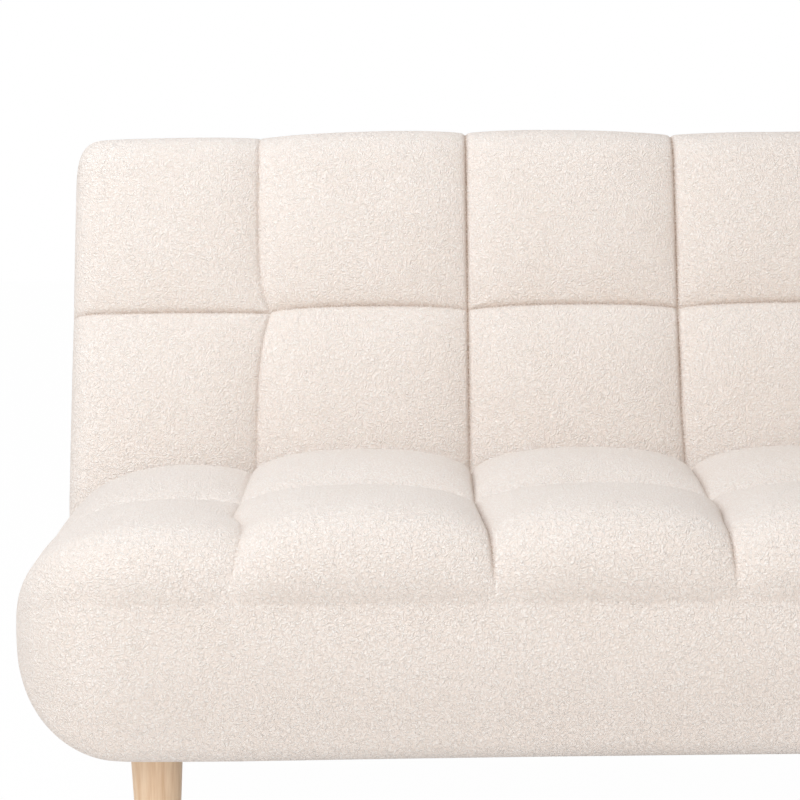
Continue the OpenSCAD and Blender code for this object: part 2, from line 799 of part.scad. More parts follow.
seat_front_rail();
seat_rear_rail();
mirror([1, 0, 0]) seat_end_rail();  // seat_end_rail_left
seat_end_rail();  // seat_end_rail_right
mirror([1, 0, 0]) seat_hinge_rail();  // seat_hinge_rail_left
seat_hinge_rail();  // seat_hinge_rail_right
seat_centre_rail();
centre_leg_block();
mirror([1, 0, 0]) base_bearer();  // base_bearer_left
base_bearer();  // base_bearer_right
base_cross_rail();
seat_springs();
spring_clips();
seat_foam();
seat_cover();
dust_cover();
translate([-leg_x, leg_front_y, 0]) turned_leg(leg_top_d, leg_foot_d);  // leg_front_left
translate([leg_x, leg_front_y, 0]) turned_leg(leg_top_d, leg_foot_d);  // leg_front_right
translate([-leg_x, leg_rear_y, 0]) turned_leg(leg_top_d, leg_foot_d);  // leg_rear_left
translate([leg_x, leg_rear_y, 0]) turned_leg(leg_top_d, leg_foot_d);  // leg_rear_right
translate([0, centre_leg_y, 0]) turned_leg(leg_top_d, leg_foot_d);  // leg_centre
leg_glides();
hanger_bolts();
leg_nuts();
mirror([1, 0, 0]) hinge_seat_plate();  // hinge_seat_plate_left
hinge_seat_plate();  // hinge_seat_plate_right
mirror([1, 0, 0]) ratchet_drum();  // ratchet_drum_left
ratchet_drum();  // ratchet_drum_right
mirror([1, 0, 0]) hinge_pin();  // hinge_pin_left
hinge_pin();  // hinge_pin_right
hinge_seat_bolts();
mirror([1, 0, 0]) hinge_back_plate();  // hinge_back_plate_left
hinge_back_plate();  // hinge_back_plate_right
hinge_back_bolts();
back_top_rail();
back_bottom_rail();
mirror([1, 0, 0]) back_end_stile();  // back_end_stile_left
back_end_stile();  // back_end_stile_right
mirror([1, 0, 0]) back_hinge_stile();  // back_hinge_stile_left
back_hinge_stile();  // back_hinge_stile_right
back_centre_stile();
back_straps();
back_foam();
back_cover();
back_panel();
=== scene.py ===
"""An armless click-clack sofa bed in cream boucle: a tufted seat slab with rolled ends, a tufted back
that leans behind it on two ratchet hinges, and turned beech legs. Front faces -Y, the floor is z = 0."""

import math

import bmesh
import bpy
import numpy as np
from mathutils import Matrix, Vector


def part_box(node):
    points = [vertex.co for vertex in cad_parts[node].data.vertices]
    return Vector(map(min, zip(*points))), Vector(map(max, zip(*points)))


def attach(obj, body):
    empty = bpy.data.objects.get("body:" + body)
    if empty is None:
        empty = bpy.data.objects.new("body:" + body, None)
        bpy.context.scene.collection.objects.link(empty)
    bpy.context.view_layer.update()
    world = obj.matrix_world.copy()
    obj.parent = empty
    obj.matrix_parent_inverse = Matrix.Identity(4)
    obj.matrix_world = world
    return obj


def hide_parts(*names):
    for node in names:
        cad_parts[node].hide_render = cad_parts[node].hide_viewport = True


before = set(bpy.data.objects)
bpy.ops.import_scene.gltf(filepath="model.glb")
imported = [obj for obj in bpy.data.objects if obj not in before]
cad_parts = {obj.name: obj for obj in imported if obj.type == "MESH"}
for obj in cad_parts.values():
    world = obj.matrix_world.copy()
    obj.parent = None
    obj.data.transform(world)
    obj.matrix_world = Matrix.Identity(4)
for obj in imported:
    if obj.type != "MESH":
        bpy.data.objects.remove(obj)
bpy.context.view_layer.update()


# Camera. The photograph is a close view of the left half, taken from a little above the back with a
# long lens. Place and aim come from the crossings of the tuft seams.
camera_data = bpy.data.cameras.new("camera")
camera_data.sensor_width = 36.0
camera_data.lens = 113.45
camera_data.clip_end = 60.0
camera = bpy.data.objects.new("camera", camera_data)
bpy.context.scene.collection.objects.link(camera)
eye = Vector((-0.4581, -2.9572, 0.8670))
pitch, yaw, roll = math.radians(7.299), math.radians(-0.472), math.radians(0.564)
ahead = Vector((math.sin(yaw) * math.cos(pitch), math.cos(yaw) * math.cos(pitch), -math.sin(pitch)))
level = ahead.cross(Vector((0, 0, 1))).normalized()
upward = level.cross(ahead)
side = level * math.cos(roll) - upward * math.sin(roll)
over = level * math.sin(roll) + upward * math.cos(roll)
aim = Matrix((side, over, -ahead)).transposed().to_4x4()
aim.translation = eye
camera.matrix_world = aim
bpy.context.scene.camera = camera


# Seat cover. Teddy boucle sewn over thick polyester wadding: two rows of biscuit tufts, a seam round
# the top, a plain band under it, full rolled ends. It is turned in under the frame with a hem.
#
# A pad's form is in metres, with v from the front edge to the rear one and n upwards. It is half wide on
# each side, and its seams lie every pitch up to last. v0, v1, n0 and n1 bound it. r0 and r1 are the radii of
# the front and rear top edge, seam0 and seam1 the heights of the seams under them, and seam_mid is the place
# of the cross seam. puff is how far a tuft rises, less in the last column by the factor end, along the
# seams by seam_share, and on the turned edge by level and hold. roll_w, roll_low, drop, rise, plan0 and
# plan1 round the ends, edge the lower edge, and bow is the swell of the band. hem, hem_half and recess
# give the field underneath. crease, fold and lift are how deep a crease and a small fold are and how far
# the cross seam lifts between two seams. pull, edge_pull, cross_pull and fade say how strongly each seam is
# drawn in, drift how each wanders in each row, and gathers the place and depth of each short fold.
SEAT = dict(
    half=0.900, last=0.6625, pitch=0.265, v0=0.008, v1=0.512, n0=0.158, n1=0.388,
    r0=0.057, r1=0.048, seam0=0.331, seam_mid=0.280, seam1=0.340, puff=0.038,
    seam_share=0.15, level=0.08, hold=1.0, end=0.48, roll_w=0.200, roll_low=0.116,
    drop=0.125, rise=0.099, plan0=0.160, plan1=0.060, edge=0.025, bow=0.008,
    hem=(0.070, 0.464), hem_half=0.785, recess=0.0085, crease=0.0032, fold=0.0012, lift=0.0,
    pull=(0.15, 0.75, 0.5, 0.7, 0.5, 0.2), edge_pull=(0.06, 0.0), cross_pull=0.3,
    fade=(0.03, 0.03),
    drift=({0: (0.0, 0.016, 0.0, 2), 1: (0.016, 0.0, 0.0, 2), 2: (0.0, -0.005, 0.0, 2),
            3: (-0.008, 0.003, 0.0, 2), 4: (-0.006, 0.006, 0.0, 2), 5: (0.004, -0.010, 0.0, 2)},
           {0: (0.0, 0.0, 0.0, 2)}),
    gathers=([(-0.815, 0.0015), (-0.790, 0.0010), (-0.672, 0.0020), (-0.655, 0.0016), (-0.640, 0.0010),
              (-0.400, 0.0014), (-0.383, 0.0022), (-0.366, 0.0016), (-0.318, 0.0014), (-0.298, 0.0010),
              (-0.276, 0.0015), (-0.145, 0.0014), (-0.130, 0.0022), (-0.112, 0.0012), (0.118, 0.0020),
              (0.136, 0.0014), (0.260, 0.0012), (0.388, 0.0020), (0.404, 0.0014), (0.655, 0.0020),
              (0.673, 0.0014), (0.800, 0.0014)], []))


def rounding(t, power):
    """What a rounded end still lacks of its full height: a superellipse, 1 at t = 0, 0 from t = 1 on."""
    t = np.clip(t, 0, 1)
    return 1 - (1 - (1 - t) ** power) ** (1 / power)


def pillow(t):
    """Rise of wadding between two seams: (1 - |2t - 1|^2.6)^0.62, 0 on each seam and 1 half way."""
    return np.clip(1 - np.abs(2 * t - 1) ** 2.6, 0, None) ** 0.62


def tuft_rise(across, along, seam_share):
    """Rise inside a tuft: the product of both pillows, plus the share that a seam keeps between dimples."""
    return (1 - 2 * seam_share) * across * along + seam_share * (across + along)


def stations(form, ends, column):
    """Places of the rings across the width: a cosine spacing on the rolled ends, then dense at each seam."""
    turn = np.linspace(0, math.pi / 2, ends)
    outer = form["half"] - form["roll_w"] * (1 - np.cos(turn) ** (2 / 2.75))
    s = np.array(column)
    field = form["last"] + s * form["pitch"]
    right = np.concatenate([field[field < outer[-1] - 0.004], outer])
    starts = form["last"] - form["pitch"] * np.arange(1, 6)
    middle = (starts[:, None] + form["pitch"] * s[None, :-1]).ravel()
    return np.unique(np.concatenate([-right, middle, right]).round(6))


def seam_drift(form, x, reach, row):
    """Sideways wander of the seams: each seam moves by its own amount, which fades towards its neighbours
    as a squared cosine. reach is the share of the way from the outer seam (0) to the cross seam (1). Along
    it the moves at the outer seam, half way and at the cross seam take over from each other."""
    move = 0 * x * reach
    low = np.clip(reach / 0.6, 0, 1)
    for k, (at_edge, half_way, at_cross, tight) in form["drift"][row].items():
        place = -form["last"] + form["pitch"] * k
        window = np.cos(np.clip((x - place) / form["pitch"], -1, 1) * math.pi / 2) ** 2
        way = at_edge * (1 - reach) ** 1.5 + half_way * 4 * low * (1 - low) + at_cross * reach ** tight
        move = move + window * way
    return move


def tufted_ring(form, x, row, band, corner, under, sewn=True):
    """One ring of cloth per place x, as arrays (rings, points) of x, v (near to far) and n (low to high).
    From the near lower corner the ring climbs the band, turns over the edge along the near row of
    tufts to the cross seam, comes back the same way on the far side and closes under the pad. Sewn
    adds what the thread does: a crease along each seam as exp(-(distance / width)^2), a fan of small
    folds round each dimple and short gathers over the near seam. Two more arrays follow: the distance to the
    nearest seam in metres, and how deep in a crease a point is, 0 to 1, which the cover's colour takes as
    painted shade along the seams."""
    # The second width is that of the painted shade in each crease: a dark line drawn where shade would fall
    # along a seam.
    crease_width, painted_shade_width = 0.0024, 0.0014
    fan_reach, gather_width, gather_reach = 0.022, 0.006, 0.022
    unsewn = 0.1
    x = x[:, None]
    inset = form["half"] - np.abs(x)
    fall = rounding(inset / form["roll_w"], 2.75)
    live = 1 - fall
    crown = form.get("crown", lambda q: 0 * q)(x)
    sag = form.get("sag", lambda q: 0 * q)(x)
    top = form["n1"] - form["drop"] * fall
    low = form["n0"] + sag * live + form["rise"] * rounding(inset / form["roll_low"], 1.8)
    near = form["v0"] + form["plan0"] * rounding(inset / form["plan0"], 2.2)
    far = form["v1"] + crown * live - form["plan1"] * rounding(inset / form["plan1"], 2.2)
    ending = np.abs(x) > form["last"] + 1e-6
    share = np.where(ending, (np.abs(x) - form["last"]) / (form["half"] - form["last"]),
                     np.mod(x / form["pitch"] + 0.5, 1.0))
    across = pillow(share) * np.where(ending, form["end"], 1.0)
    gap = np.where(ending, np.abs(x) - form["last"], np.minimum(share, 1 - share) * form["pitch"])
    cross = form["seam_mid"] + form["lift"] * np.where(ending, -0.1, np.sin(math.pi * share) ** 0.35) * live
    cap = top - 0.22 * (top - low)
    parts = []
    for side, (end, seam, r, way) in enumerate(((near, form["seam0"], form["r0"], 1),
                                                (far, form["seam1"], form["r1"], -1))):
        seam = np.minimum(seam, cap)
        r = np.minimum(r, top - seam)
        rc = np.minimum(form["edge"], (seam - low) / 3)
        a = np.radians(np.array(corner))[None, :]
        foot = (x + 0 * a, end + way * rc * (1 - np.cos(a)), low + rc * (1 - np.sin(a)),
                unsewn + 0 * (x + a), 0 * (x + a))
        q = np.array(band)[None, :]
        wall = (x + seam_drift(form, x, 0, side) * q ** 4,
                end - way * form["bow"] * live * np.sin(math.pi * q),
                low + rc + q * (seam - low - rc), (1 - q) * (seam - low - rc) + 0 * x, 0 * (x + q))
        s = np.array(row)[None, :]
        upright, bend = top - r - seam, r * math.pi / 2
        length = upright + bend + np.abs(cross - end) - r
        d = s * length
        turn = np.clip((d - upright) / np.maximum(bend, 1e-6), 0, 1) * math.pi / 2
        push = form["level"] + (1 - form["level"]) * np.sin(turn) ** form["hold"]
        swell = form["puff"] * live * tuft_rise(across, pillow(s), form["seam_share"]) * push
        nearest = np.minimum(np.minimum(gap, length - d), d)
        number = np.clip(np.round((x + form["last"]) / form["pitch"]), 0, 5).astype(int)
        pull = np.array(form["pull"])[number]
        edge_pull, cross_pull = form["edge_pull"][side], form["cross_pull"]
        off_end = np.clip((form["half"] - np.abs(x)) / 0.06 - 0.2, 0, 1)
        upper = np.clip((d - 0.012) / form["fade"][side], 0, 1) * off_end

        def thread(width):
            """Pull of the nearest thread, as exp(-(distance / width)^2) times the pull of its seam."""
            return np.maximum(np.maximum(pull * np.exp(-((gap / width) ** 2)) * upper,
                                         cross_pull * np.exp(-(((length - d) / width) ** 2))),
                              edge_pull * np.exp(-((d / width) ** 2)))

        # Painted shade: how dark the colour is drawn along a seam's crease, 0 to 1.
        dark = thread(painted_shade_width)
        if sewn:
            swell = swell - live * form["crease"] * thread(crease_width)
            reach = np.hypot(gap, length - d)
            fan = np.cos(7 * np.arctan2(length - d, gap + 1e-6) + 3 * np.round(x / form["pitch"]) + side)
            swell = swell + form["fold"] * live * fan * np.exp(-reach / fan_reach) * np.clip(
                reach / 0.012, 0, 1)
            for place, depth in form["gathers"][side]:
                swell = swell - depth * live * np.exp(-(((x - place) / gather_width) ** 2)) * (
                    np.exp(-d / gather_reach) * np.clip(d / 0.004, 0, 1))
        v = r - r * np.cos(turn) + np.maximum(d - upright - bend, 0) - swell * np.cos(turn)
        n = seam + np.minimum(d, upright) + r * np.sin(turn) + swell * np.sin(turn)
        tufts = (x + live * seam_drift(form, x, s, side), end + way * v, n, nearest, dark)
        parts.append((foot, wall, tufts, rc))
    (foot_a, wall_a, row_a, rc_a), (foot_b, wall_b, row_b, rc_b) = parts
    q = np.array(under)[None, :]
    v_under = (far - rc_b) + q * (near + rc_a - far + rc_b)
    inside = np.clip((form["hem_half"] - np.abs(x)) / 0.002, 0, 1) * np.clip(
        np.minimum(v_under - form["hem"][0], form["hem"][1] - v_under) / 0.002, 0, 1)
    base = (x + 0 * q, v_under, low + form["recess"] * inside, unsewn + 0 * v_under, 0 * v_under)
    return [np.concatenate([foot_a[k], wall_a[k], row_a[k], row_b[k][:, -2::-1], wall_b[k][:, ::-1],
                            foot_b[k][:, ::-1], base[k]], axis=1) for k in range(5)]


def ring_mesh(name, points):
    """A closed skin from rings of points (rings, points, 3): quads between neighbours, one face on each end.
    The rims of the two end faces are creased, so that subdivision keeps their points in place."""
    rings, around = points.shape[:2]
    i, j = np.meshgrid(np.arange(rings - 1), np.arange(around), indexing="ij")
    k = (j + 1) % around
    quads = np.stack([i * around + j, (i + 1) * around + j, (i + 1) * around + k, i * around + k], -1)
    faces = quads.reshape(-1, 4).tolist()
    faces.append(list(range(around)))
    faces.append(list(range(rings * around - 1, (rings - 1) * around - 1, -1)))
    mesh = bpy.data.meshes.new(name)
    mesh.from_pydata(points.reshape(-1, 3), [], faces)
    mesh.update()
    pairs = np.empty(len(mesh.edges) * 2, np.int32)
    mesh.edges.foreach_get("vertices", pairs)
    rim = (pairs.reshape(-1, 2) // around % (rings - 1) == 0).all(axis=1)
    mesh.attributes.new("crease_edge", "FLOAT", "EDGE").data.foreach_set("value", rim.astype(np.float32))
    piece = bpy.data.objects.new(name, mesh)
    bpy.context.scene.collection.objects.link(piece)
    mesh.polygons.foreach_set("use_smooth", np.ones(len(mesh.polygons), bool))
    return piece


def puffed(piece, hold, pressure, growth, cap):
    """Cloth under inner pressure for 20 frames, its seams and underside held by the hold weights. A point
    moves by cap x tanh(move / cap) at most, so the pad keeps the room that its frame leaves."""
    frames, grades = 20, 10
    mesh = piece.data
    start = np.empty(len(mesh.vertices) * 3)
    mesh.vertices.foreach_get("co", start)
    start = start.reshape(-1, 3)
    group = piece.vertex_groups.new(name="held")
    for step in range(1, grades + 1):
        chosen = np.nonzero(np.round(hold * grades) == step)[0]
        if len(chosen):
            group.add(chosen.tolist(), step / grades, "REPLACE")
    cloth = piece.modifiers.new("cloth", "CLOTH")
    cloth.settings.vertex_group_mass = "held"
    cloth.settings.pin_stiffness = 1.0
    cloth.settings.quality = 4
    cloth.settings.mass = 0.3
    cloth.settings.use_pressure = True
    cloth.settings.uniform_pressure_force = pressure
    cloth.settings.shrink_min = -growth
    cloth.settings.effector_weights.gravity = 0
    cloth.collision_settings.use_self_collision = False
    cloth.point_cache.frame_start, cloth.point_cache.frame_end = 1, frames
    scene = bpy.context.scene
    for number in range(1, frames + 1):
        scene.frame_set(number)
    blown = piece.evaluated_get(bpy.context.evaluated_depsgraph_get()).to_mesh()
    end = np.empty(len(blown.vertices) * 3)
    blown.vertices.foreach_get("co", end)
    move = end.reshape(-1, 3) - start
    far = np.linalg.norm(move, axis=1, keepdims=True) + 1e-9
    piece.modifiers.remove(cloth)
    mesh.vertices.foreach_set("co", (start + move / far * cap * np.tanh(far / cap)).ravel())
    mesh.update()
    scene.frame_set(1)


# Stations of the mesh: shares of a column, of a row of tufts, of the band's height and of the underside,
# dense at the seams and the hem, and the angles of the lower corner in degrees.
front_y = -0.420362
column = [0, .006, .014, .028, .05, .08, .115, .155, .2, .25, .3, .35, .4, .45, .5,
          .55, .6, .65, .7, .75, .8, .845, .885, .92, .95, .972, .986, .994, 1]
row = [0, .008, .02, .04, .066, .1, .14, .18, .22, .26, .3, .34, .38, .42, .46, .5, .54, .58, .62,
       .66, .70, .74, .78, .82, .86, .895, .925, .95, .97, .984, .994, 1]
band = [0, .1, .2, .3, .4, .5, .6, .7, .79, .87, .93, .97]
corner = [90, 68, 45, 22]
under = [0, .03, .05, .0545, .1, .22, .36, .5, .64, .78, .9, .918, .9225, .95, 1]


def upholstered(name, form, ends, place, pressure, growth, cap):
    """A pad's cover: the plain form is blown up as cloth where it isn't sewn, then creases and gathers are
    added. The attribute crease keeps how deep in one a point is, for the painted shade along the seams. The
    cloth is free on the two rows of tufts only, from 2 mm off a seam on and up to 10 mm before an end."""
    at = stations(form, ends, column)
    x, v, n, gap, dark = tufted_ring(form, at, row, band, corner, under, sewn=False)
    plain = place(x, v, n)
    x, v, n, gap, dark = tufted_ring(form, at, row, band, corner, under)
    thread = place(x, v, n) - plain
    piece = ring_mesh(name, plain)
    first = len(corner) + len(band) - 4
    free = np.clip((gap - 0.002) / 0.02, 0, 1) * (np.arange(gap.shape[1])[None, :] > first)
    sewn_on = gap < 0.0999
    free = free * sewn_on * np.clip((form["half"] - np.abs(x) - 0.01) / 0.03, 0, 1)
    puffed(piece, 1 - free.ravel(), pressure, growth, cap)
    points = np.empty(len(piece.data.vertices) * 3)
    piece.data.vertices.foreach_get("co", points)
    piece.data.vertices.foreach_set("co", points + thread.ravel())
    # The attribute crease carries the painted shade along the seams to the boucle's colour.
    piece.data.attributes.new("crease", "FLOAT", "POINT").data.foreach_set("value", dark.ravel())
    piece.data.update()
    return piece


SEAT["sag"] = lambda q: 0.0035 * np.clip(1 - (q / 0.65) ** 2, 0, 1)
seat_cover = upholstered("seat_cover_cloth", SEAT, 22, lambda x, v, n: np.stack([x, v + front_y, n], -1),
                         4.0, 0.03, 0.006)
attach(seat_cover, "base")
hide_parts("seat_cover")


# Back cover. The same boucle, drawn flat with v up the back and n towards the sitter, then leaned 20
# degrees. Its tufts rise only after the cloth has turned over the top edge; the rear is hemmed.
BACK = dict(
    half=0.900, last=0.6625, pitch=0.265, v0=-0.074, v1=0.472, n0=-0.073, n1=0.056,
    r0=0.056, r1=0.040, seam0=0.0, seam_mid=0.228, seam1=-0.023, puff=0.031,
    seam_share=0.31, level=0.08, hold=3.0, end=0.90, roll_w=0.035, roll_low=0.025,
    drop=0.035, rise=0.025, plan0=0.035, plan1=0.035, edge=0.025, bow=0.008,
    hem=(-0.029, 0.432), hem_half=0.845, recess=0.0085, crease=0.0032, fold=0.0016, lift=0.006,
    pull=(0.25, 1.0, 0.9, 0.9, 0.8, 0.4), edge_pull=(0.0, 0.0), cross_pull=0.6,
    fade=(0.24, 0.03),
    drift=({0: (0.0, 0.0, 0.016, 7), 2: (0.0, 0.003, 0.0, 2), 4: (0.0, 0.0, -0.006, 6)},
           {0: (0.0, 0.0, 0.016, 10), 4: (0.0, 0.0, -0.006, 6), 5: (0.0, 0.0, 0.004, 6)}),
    gathers=([], []))
pivot = np.array([0, 0.194638, 0.339])
lean = math.radians(20)


def lean_back(x, v, n):
    """Turns points drawn lying flat about the hinge line into the sitting position."""
    y = pivot[1] + v * math.sin(lean) - n * math.cos(lean)
    z = pivot[2] + v * math.cos(lean) + n * math.sin(lean)
    return np.stack([x, y, z], -1)


BACK["crown"] = lambda q: -0.005 + 0.008 * np.exp(-(((np.abs(q) - 0.41) / 0.26) ** 2))
back_cover = upholstered("back_cover_cloth", BACK, 12, lean_back, 4.0, 0.03, 0.006)
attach(back_cover, "back")
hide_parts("back_cover")

for cover in (seat_cover, back_cover):
    finer = cover.modifiers.new("finer", "SUBSURF")
    finer.levels = finer.render_levels = 1

# Two slots through the back cover's lower edge, in which the hinges' seat arms swing as the back is let
# down. Each is cut as a box drawn in x, v and n, open below and in front.
beside_arm, above_pin, behind_pin, overrun = 0.0015, 0.018, 0.018, 0.12
for plate in ("hinge_seat_plate_left", "hinge_seat_plate_right"):
    arm_low, arm_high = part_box(plate)
    corners = np.array([(x, v, n) for x in (arm_low[0] - beside_arm, arm_high[0] + beside_arm)
                        for v in (-overrun, above_pin) for n in (-behind_pin, overrun)])
    sides = [(0, 1, 3, 2), (4, 6, 7, 5), (0, 4, 5, 1), (2, 3, 7, 6), (0, 2, 6, 4), (1, 5, 7, 3)]
    slot_mesh = bpy.data.meshes.new("arm slot")
    slot_mesh.from_pydata(lean_back(*corners.T), [], sides)
    slot = bpy.data.objects.new("arm slot", slot_mesh)
    bpy.context.scene.collection.objects.link(slot)
    cut = back_cover.modifiers.new("slot", "BOOLEAN")
    cut.operation, cut.solver, cut.object = "DIFFERENCE", "EXACT", slot
    graph = bpy.context.evaluated_depsgraph_get()
    cut_mesh = bpy.data.meshes.new_from_object(back_cover.evaluated_get(graph), depsgraph=graph)
    back_cover.modifiers.clear()
    back_cover.data = cut_mesh
    bpy.data.objects.remove(slot)
    bpy.data.meshes.remove(slot_mesh)


def linear(code):
    """An sRGB hex colour as linear RGBA."""
    c = np.array([int(code[k:k + 2], 16) for k in (0, 2, 4)]) / 255
    c = np.where(c <= 0.04045, c / 12.92, ((c + 0.055) / 1.055) ** 2.4)
    return (*c.tolist(), 1.0)


def add_node(material, kind, links=None, settings=None, **values):
    """Adds one node: settings are its own properties, links its inputs from (node, output), and values the
    rest of its inputs."""
    node = material.node_tree.nodes.new(kind)
    for key, value in (settings or {}).items():
        setattr(node, key, value)
    for key, value in values.items():
        node.inputs[key.replace("_", " ")].default_value = value
    for key, (source, output) in (links or {}).items():
        material.node_tree.links.new(source.outputs[output], node.inputs[key])
    return node


def new_material(name):
    """An empty material with its Principled BSDF, which add_node then feeds."""
    material = bpy.data.materials.new(name)
    material.use_nodes = True
    return material, material.node_tree.nodes["Principled BSDF"]


# Boucle: looped polyester yarn, knitted and brushed. Its curls are 2.1 mm wide and bent like worms by a
# noise 5 mm across, with fibres of 1.7 mm on them, drawn coarser than they are, and lie in soft lumps
# 8 mm apart. To the eye it is dull all over. Between the curls the colour is painted a little darker and
# warmer, as painted shade in the hollows. Along a seam the shade in the crease is painted too: the colour
# turns a warm brown there, broken up by the loops.
boucle, shader = new_material("teddy boucle polyester")
place = add_node(boucle, "ShaderNodeTexCoord")
warp = add_node(boucle, "ShaderNodeTexNoise", {"Vector": (place, "Object")}, Scale=210.0, Detail=1.0)
stray = add_node(boucle, "ShaderNodeVectorMath", {0: (warp, "Color")}, {"operation": "SCALE"}, Scale=0.004)
bent = add_node(boucle, "ShaderNodeVectorMath", {0: (place, "Object"), 1: (stray, "Vector")},
                {"operation": "ADD"})
curl = add_node(boucle, "ShaderNodeTexVoronoi", {"Vector": (bent, "Vector")},
                {"feature": "SMOOTH_F1"}, Scale=480.0, Smoothness=0.5)
yarn = add_node(boucle, "ShaderNodeTexNoise", {"Vector": (bent, "Vector")}, Scale=600.0, Detail=2.0)
lump = add_node(boucle, "ShaderNodeTexNoise", {"Vector": (place, "Object")}, Scale=120.0, Detail=1.0)
shade = add_node(boucle, "ShaderNodeTexNoise", {"Vector": (place, "Object")}, Scale=14.0, Detail=3.0)
height = add_node(boucle, "ShaderNodeMath", {0: (curl, "Distance"), 2: (yarn, "Fac")},
                  {"operation": "MULTIPLY_ADD"})
height.inputs[1].default_value = -0.9
pile = add_node(boucle, "ShaderNodeMath", {0: (lump, "Fac"), 2: (height, "Value")},
                {"operation": "MULTIPLY_ADD"})
pile.inputs[1].default_value = 0.12
# Painted shade: the colour is darker and warmer where the pile is low, in the hollows between the curls.
tone = add_node(boucle, "ShaderNodeValToRGB", {"Fac": (pile, "Value")})
tone.color_ramp.elements[0].position, tone.color_ramp.elements[0].color = 0.05, linear("F1E4DA")
tone.color_ramp.elements[1].position, tone.color_ramp.elements[1].color = 0.5, linear("FDF7F1")
patch = add_node(boucle, "ShaderNodeMix", None, {"data_type": "RGBA", "blend_type": "MULTIPLY"})
boucle.node_tree.links.new(shade.outputs["Fac"], patch.inputs[0])
patch.inputs[7].default_value = linear("FBF9F7")
boucle.node_tree.links.new(tone.outputs["Color"], patch.inputs[6])
relief = add_node(boucle, "ShaderNodeBump", {"Height": (pile, "Value")}, Strength=1.0, Distance=0.0017)
# Painted shade along the seams: where the attribute crease is high, the colour turns to the warm brown
# B09580, broken up by the yarn's loops.
sewn = add_node(boucle, "ShaderNodeAttribute", None, {"attribute_name": "crease"})
loops = add_node(boucle, "ShaderNodeMapRange", {"Value": (yarn, "Fac")},
                 From_Min=0.35, From_Max=0.65, To_Min=1.25, To_Max=0.35)
broken = add_node(boucle, "ShaderNodeMath", {0: (sewn, "Fac"), 1: (loops, "Result")},
                  {"operation": "MULTIPLY"})
crease = add_node(boucle, "ShaderNodeMix", None, {"data_type": "RGBA"})
boucle.node_tree.links.new(broken.outputs["Value"], crease.inputs[0])
boucle.node_tree.links.new(patch.outputs[2], crease.inputs[6])
crease.inputs[7].default_value = linear("B09580")
boucle.node_tree.links.new(crease.outputs[2], shader.inputs["Base Color"])
boucle.node_tree.links.new(relief.outputs["Normal"], shader.inputs["Normal"])
shader.inputs["Roughness"].default_value = 0.95
shader.inputs["Specular IOR Level"].default_value = 0.15
shader.inputs["Sheen Weight"].default_value = 0.08
shader.inputs["Sheen Roughness"].default_value = 0.6
for cover in (seat_cover, back_cover):
    cover.data.materials.append(boucle)


# Foam. Polyurethane slabs cut with a wire: one lies on the seat springs, one on the elastic straps of the
# back, where it makes room for the hinge drums. Both are a little crowned. The cut leaves 1 mm pores open,
# so the yellow surface is dull and speckled.
def foam_slab(name, places, low_v, high_v, bottom, top, crown, place):
    """A slab as rings across the width: a rounded rectangle whose top rises to the crown half way, and whose
    last rings shrink by a quarter circle. low_v(x) and high_v(x) give its front and rear edge."""
    r = 0.008
    turn = np.radians([0, 30, 60, 90])
    x = np.unique(np.concatenate([places, places[0] + r * (1 - np.sin(turn)),
                                  places[-1] - r * (1 - np.sin(turn))]))[:, None]
    inset = np.clip(np.minimum(x - places[0], places[-1] - x) / r, 0, 1)
    shrink = r * (1 - np.sqrt(np.clip(1 - (1 - inset) ** 2, 0, 1)))
    low, high = low_v(x) + shrink, high_v(x) - shrink
    middle = (places[0] + places[-1]) / 2
    q = np.linspace(0, 1, 19)[None, :]
    swell = crown * np.clip(1 - ((x - middle) / (places[-1] - middle)) ** 2, 0, 1) ** 0.5 * (
        np.sin(math.pi * q) ** 0.7)
    c, up = r * (1 - np.cos(turn))[None, :], r * (1 - np.sin(turn))[None, :]
    flat = high - low - 2 * r
    v = np.concatenate([low + up, low + r + q[:, 1:-1] * flat, high - up[:, ::-1],
                        high - up, high - r - q[:, 1:-1] * flat, low + up[:, ::-1]], axis=1)
    over = top - crown - shrink
    under = bottom + shrink
    n = np.concatenate([over - c[:, ::-1], over + swell[:, 1:-1], over - c,
                        under + c[:, ::-1], under + 0 * swell[:, 1:-1], under + c], axis=1)
    return ring_mesh(name, place(x + 0 * v, v, n))


seat_foam = foam_slab("seat_foam_slab", np.linspace(-0.774, 0.774, 80), lambda x: 0.0535 + 0 * x,
                      lambda x: 0.4812 + 0 * x, 0.3138, 0.3776, 0.004,
                      lambda x, v, n: np.stack([x, v + front_y, n], -1))
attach(seat_foam, "base")
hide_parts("seat_foam")

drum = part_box("ratchet_drum_right")
notch = (drum[0][0] - 0.012, drum[1][0] + 0.006)
beside = [sign * (edge + step) for sign in (-1, 1) for edge in notch for step in (-0.0006, 0.0006)]
foam_x = np.sort(np.concatenate([np.linspace(-0.849, 0.849, 70), beside]))
foam_foot, over_drum = -0.0302, 0.0345


def foam_edge(x):
    """Lower edge of the back's slab: straight, with a notch over each hinge drum."""
    return np.where((np.abs(x) > notch[0]) & (np.abs(x) < notch[1]), over_drum, foam_foot)


back_foam = foam_slab("back_foam_slab", foam_x, foam_edge, lambda x: 0.4412 + 0 * x, 0.0221, 0.0474, 0.003,
                      lean_back)
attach(back_foam, "back")
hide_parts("back_foam")

